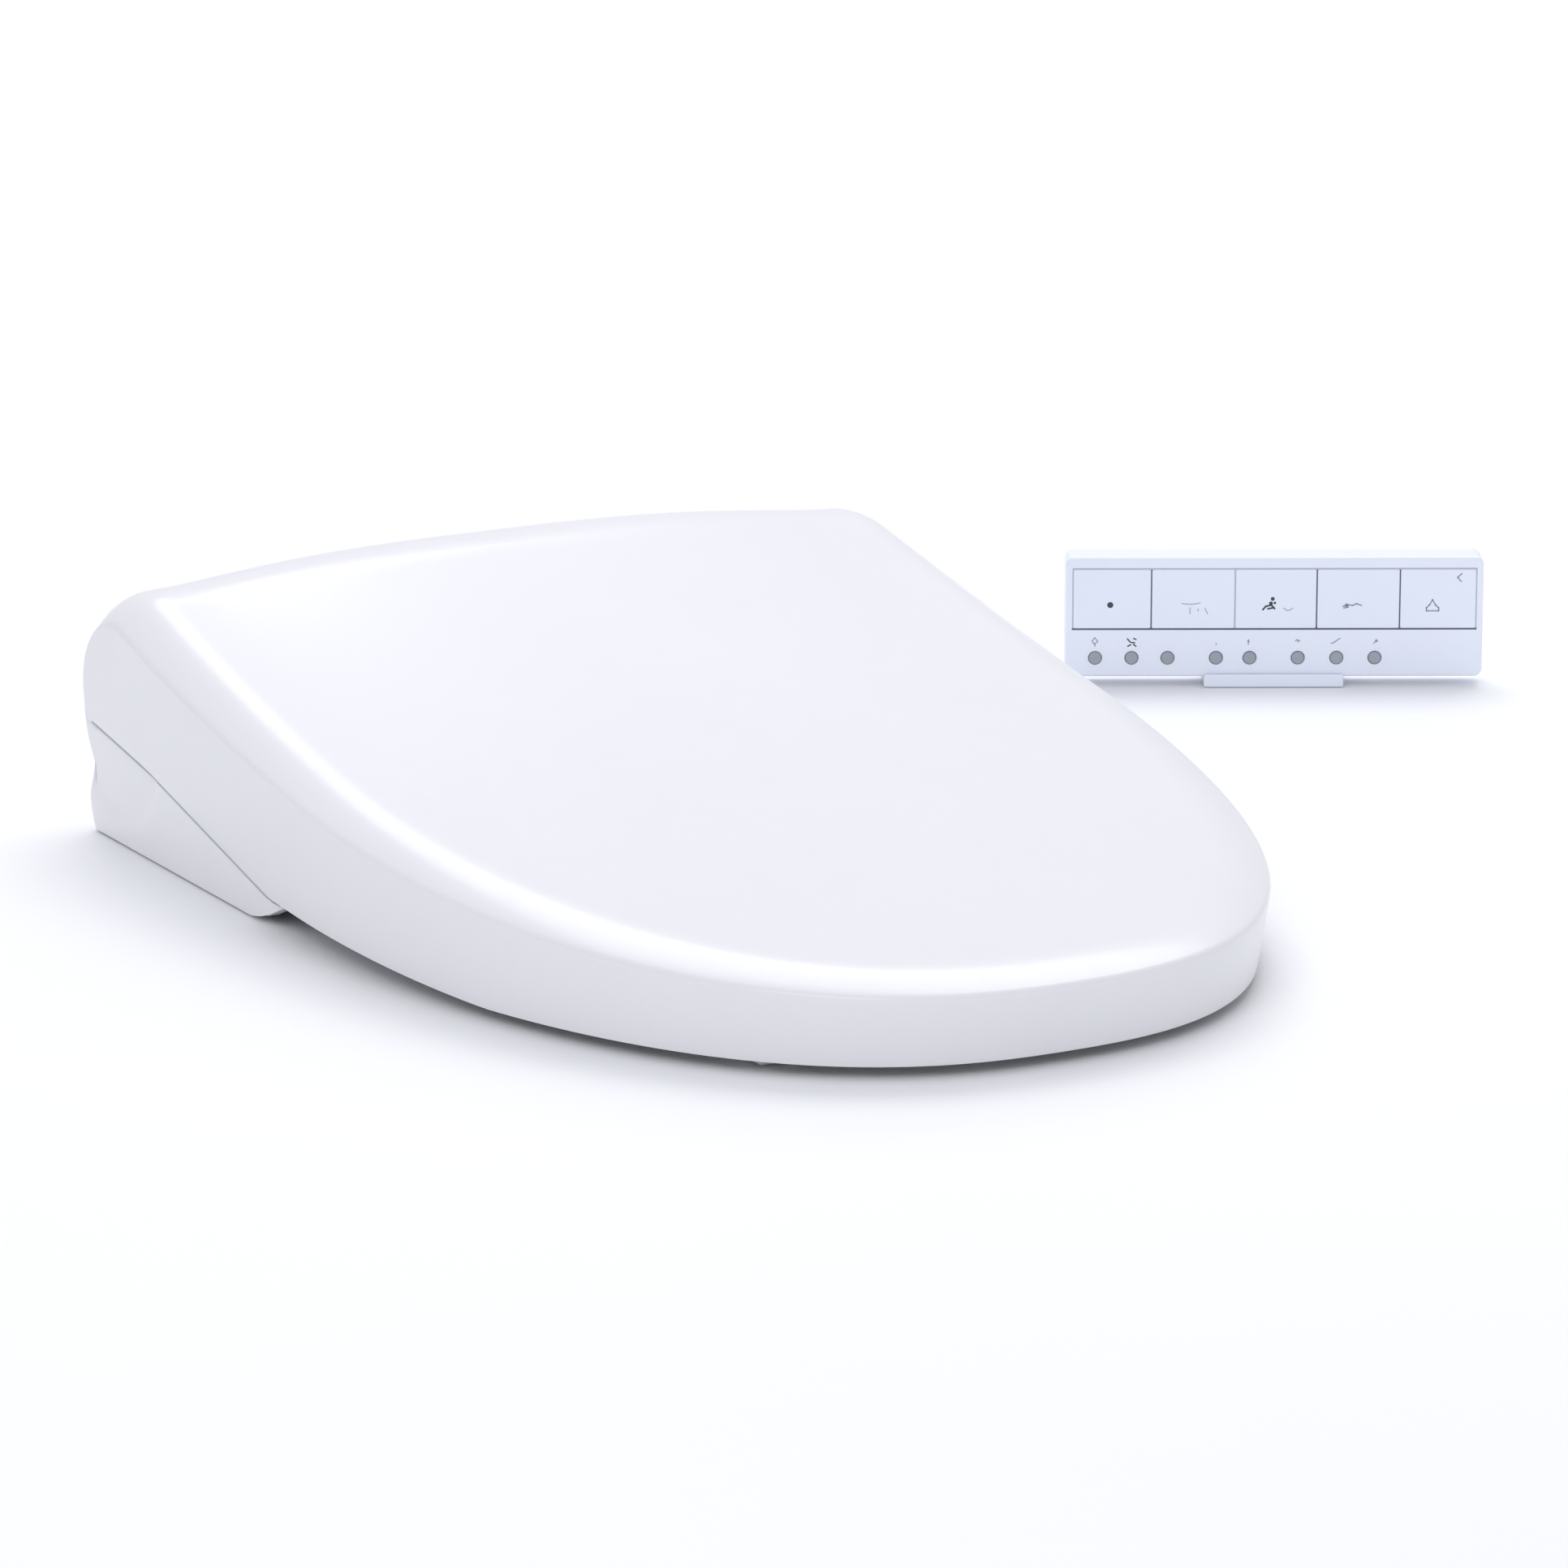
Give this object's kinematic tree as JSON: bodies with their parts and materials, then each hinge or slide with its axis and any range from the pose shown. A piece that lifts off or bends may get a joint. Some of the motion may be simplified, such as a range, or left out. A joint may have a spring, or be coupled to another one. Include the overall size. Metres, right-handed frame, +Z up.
{
  "type": "electric bidet seat",
  "caption": "Low sloping electric bidet seat with a hinged lid, heated ring, spray wand, mounting bolts and a handheld remote in its hanger.",
  "frame": {"origin": "on the deck plane under the anti-slip mat, midway between the two mounting bolts", "axes": "+Z up, -Y towards the front of the seat, +X to the right of someone facing the front"},
  "size_m": [0.6739, 0.5384, 0.1752],
  "materials": {
    "white_shell": "gloss",
    "seat_plastic": "gloss",
    "case_plastic": "satin",
    "grey_plastic": "matt",
    "black_plastic": "matt",
    "rubber": "matt",
    "soft_white": "soft",
    "steel": "satin",
    "brass": "satin",
    "board": "solder mask",
    "heater_film": "satin",
    "smoked_lens": "gloss",
    "remote_white": "satin",
    "remote_key": "satin",
    "remote_grey": "satin",
    "battery": "satin"
  },
  "bodies": {
    "base": {"anti_slip_mat": "rubber", "base_plate": "grey_plastic", "mounting_bolt_left": "steel", "mounting_bolt_right": "steel", "expansion_nut_left": "rubber", "expansion_nut_right": "rubber", "lower_case": "case_plastic", "upper_cover": "white_shell", "side_panel_left": "white_shell", "side_panel_right": "white_shell", "hinge_pin_left": "steel", "hinge_pin_right": "steel", "seat_damper": "black_plastic", "lid_damper": "black_plastic", "water_heater": "grey_plastic", "solenoid_valve": "black_plastic", "water_inlet_fitting": "brass", "cord_gland": "rubber", "controller_board": "board", "sensor_window": "smoked_lens", "dryer_fan": "black_plastic", "deodorizer_cartridge": "grey_plastic", "wand_housing": "grey_plastic", "remote_hanger": "remote_white"},
    "seat": {"seat_ring_top": "seat_plastic", "seat_ring_bottom": "seat_plastic", "seat_heater": "heater_film", "seat_bumper_front_left": "soft_white", "seat_bumper_front_right": "soft_white", "seat_bumper_rear_left": "soft_white", "seat_bumper_rear_right": "soft_white"},
    "lid": {"lid_shell": "white_shell", "lid_pivot_left": "grey_plastic", "lid_pivot_right": "grey_plastic", "lid_bumper_left": "soft_white", "lid_bumper_right": "soft_white"},
    "wand": {"wand_tube": "soft_white", "wand_nozzle": "white_shell"},
    "shutter": {"nozzle_shutter": "white_shell"},
    "dryer_flap": {"dryer_flap": "white_shell"},
    "release_button": {"release_button": "white_shell"},
    "remote": {"remote_front_case": "remote_white", "remote_back_case": "remote_white", "remote_board": "board", "battery_1": "battery", "battery_2": "battery"},
    "battery_door": {"battery_door": "remote_white"},
    "key_stop": {"key_stop": "remote_key"},
    "key_rear_wash": {"key_rear_wash": "remote_key"},
    "key_soft_wash": {"key_soft_wash": "remote_key"},
    "key_front_wash": {"key_front_wash": "remote_key"},
    "key_dryer": {"key_dryer": "remote_key"},
    "button_1": {"button_1": "remote_grey"},
    "button_2": {"button_2": "remote_grey"},
    "button_3": {"button_3": "remote_grey"},
    "button_4": {"button_4": "remote_grey"},
    "button_5": {"button_5": "remote_grey"},
    "button_6": {"button_6": "remote_grey"},
    "button_7": {"button_7": "remote_grey"},
    "button_8": {"button_8": "remote_grey"}
  },
  "joints": [
    {"name": "seat_hinge", "type": "hinge", "parent": "base", "child": "seat", "pos_m": [0, 0.003, 0.055], "axis": [-1, 0, 0], "range_deg": [0, 105]},
    {"name": "lid_hinge", "type": "hinge", "parent": "seat", "child": "lid", "pos_m": [0, 0.003, 0.055], "axis": [1, 0, 0], "range_deg": [-105, 0]},
    {"name": "wand_slide", "type": "slide", "parent": "base", "child": "wand", "axis": [0, -0.866, -0.5], "range_m": [0, 0.095]},
    {"name": "shutter_hinge", "type": "hinge", "parent": "base", "child": "shutter", "pos_m": [0, -0.0715, 0.0212], "axis": [-1, 0, 0], "range_deg": [0, 81]},
    {"name": "dryer_flap_hinge", "type": "hinge", "parent": "base", "child": "dryer_flap", "pos_m": [0.075, -0.0711, 0.0198], "axis": [-1, 0, 0], "range_deg": [0, 45]},
    {"name": "release_button_press", "type": "slide", "parent": "base", "child": "release_button", "axis": [0, 1, 0], "range_m": [0, 0.003], "stiffness_N_per_m": 400},
    {"name": "remote_lift", "type": "slide", "parent": "base", "child": "remote", "axis": [0, 0, 1], "range_m": [0, 0.1]},
    {"name": "battery_door_hinge", "type": "hinge", "parent": "remote", "child": "battery_door", "pos_m": [0.39929, 0.01791, 0.0452], "axis": [0.8792, -0.4764, 0], "range_deg": [0, 100]},
    {"name": "key_stop_press", "type": "slide", "parent": "remote", "child": "key_stop", "axis": [0.4764, 0.8792, 0], "range_m": [0, 0.0008], "stiffness_N_per_m": 400},
    {"name": "key_rear_wash_press", "type": "slide", "parent": "remote", "child": "key_rear_wash", "axis": [0.4764, 0.8792, 0], "range_m": [0, 0.0008], "stiffness_N_per_m": 400},
    {"name": "key_soft_wash_press", "type": "slide", "parent": "remote", "child": "key_soft_wash", "axis": [0.4764, 0.8792, 0], "range_m": [0, 0.0008], "stiffness_N_per_m": 400},
    {"name": "key_front_wash_press", "type": "slide", "parent": "remote", "child": "key_front_wash", "axis": [0.4764, 0.8792, 0], "range_m": [0, 0.0008], "stiffness_N_per_m": 400},
    {"name": "key_dryer_press", "type": "slide", "parent": "remote", "child": "key_dryer", "axis": [0.4764, 0.8792, 0], "range_m": [0, 0.0008], "stiffness_N_per_m": 400},
    {"name": "button_1_press", "type": "slide", "parent": "remote", "child": "button_1", "axis": [0.4764, 0.8792, 0], "range_m": [0, 0.0008], "stiffness_N_per_m": 250},
    {"name": "button_2_press", "type": "slide", "parent": "remote", "child": "button_2", "axis": [0.4764, 0.8792, 0], "range_m": [0, 0.0008], "stiffness_N_per_m": 250},
    {"name": "button_3_press", "type": "slide", "parent": "remote", "child": "button_3", "axis": [0.4764, 0.8792, 0], "range_m": [0, 0.0008], "stiffness_N_per_m": 250},
    {"name": "button_4_press", "type": "slide", "parent": "remote", "child": "button_4", "axis": [0.4764, 0.8792, 0], "range_m": [0, 0.0008], "stiffness_N_per_m": 250},
    {"name": "button_5_press", "type": "slide", "parent": "remote", "child": "button_5", "axis": [0.4764, 0.8792, 0], "range_m": [0, 0.0008], "stiffness_N_per_m": 250},
    {"name": "button_6_press", "type": "slide", "parent": "remote", "child": "button_6", "axis": [0.4764, 0.8792, 0], "range_m": [0, 0.0008], "stiffness_N_per_m": 250},
    {"name": "button_7_press", "type": "slide", "parent": "remote", "child": "button_7", "axis": [0.4764, 0.8792, 0], "range_m": [0, 0.0008], "stiffness_N_per_m": 250},
    {"name": "button_8_press", "type": "slide", "parent": "remote", "child": "button_8", "axis": [0.4764, 0.8792, 0], "range_m": [0, 0.0008], "stiffness_N_per_m": 250}
  ],
  "couplings": [
    {"joint": "shutter_hinge", "follows": "wand_slide", "rad_per_m": 14.75}
  ]
}
